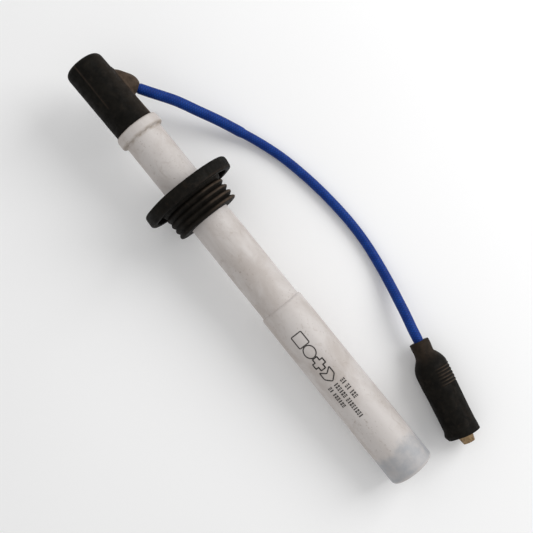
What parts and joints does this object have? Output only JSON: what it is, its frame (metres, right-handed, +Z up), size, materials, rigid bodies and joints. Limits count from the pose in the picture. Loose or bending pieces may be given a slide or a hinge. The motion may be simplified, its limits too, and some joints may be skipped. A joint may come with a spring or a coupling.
{
  "type": "flame sensor probe",
  "caption": "Long white insulated probe tube with a ribbed black flange seal, a rubber elbow boot and a short blue lead ending in a straight rubber connector.",
  "frame": {"origin": "middle of the probe's box, lead left out, on the surface that it lies on", "axes": "+X along the probe towards its socket, +Y to the lead's side, +Z up"},
  "size_m": [0.3779, 0.1155, 0.0703],
  "materials": {
    "insulator": "matt white insulating plastic, slightly soiled",
    "rubber": "matt black moulded rubber with brown dust",
    "liner": "grey silicone rubber",
    "lead": "blue silicone lead insulation, satin",
    "brass": "dull brass",
    "steel": "plain steel",
    "copper": "bare copper strands",
    "ceramic": "unglazed ceramic"
  },
  "bodies": {
    "probe": {"upper_tube": "insulator", "socket_sleeve": "insulator", "sleeve_o_ring": "rubber", "elbow_boot": "rubber", "boot_o_ring": "rubber", "elbow_crimp": "brass", "core_end_elbow": "copper", "elbow_terminal": "brass", "rod_socket": "brass", "centre_rod": "brass", "rod_nut_top": "brass", "rod_nut_foot": "brass", "rod_lock_washer_top": "steel", "rod_lock_washer_foot": "steel", "rod_washer_top": "steel", "rod_washer_foot": "steel", "suppressor_body": "ceramic", "suppressor_cap_top": "brass", "suppressor_cap_foot": "brass", "contact_cup": "brass", "contact_spring": "steel", "contact_retainer": "steel", "socket_liner": "liner", "lead_cord": "lead", "core_end_connector": "copper", "connector_terminal": "brass", "terminal_snap_ring": "steel"},
    "seal": {"flange_seal": "rubber"},
    "contact": {"contact_plunger": "brass"},
    "lead_boot": {"connector_boot": "rubber"}
  },
  "joints": [
    {"name": "seal_slide", "type": "slide", "parent": "probe", "child": "seal", "axis": [-0.9973, 0, 0.0733], "range_m": [0, 0.043]},
    {"name": "contact_press", "type": "slide", "parent": "probe", "child": "contact", "axis": [-0.9973, 0, 0.0733], "range_m": [0, 0.006], "stiffness_N_per_m": 400, "springref_m": -0.004, "deforming": ["contact_spring"]},
    {"name": "connector_boot_slide", "type": "slide", "parent": "probe", "child": "lead_boot", "axis": [-0.9745, 0.2243, 0], "range_m": [0, 0.008]}
  ]
}
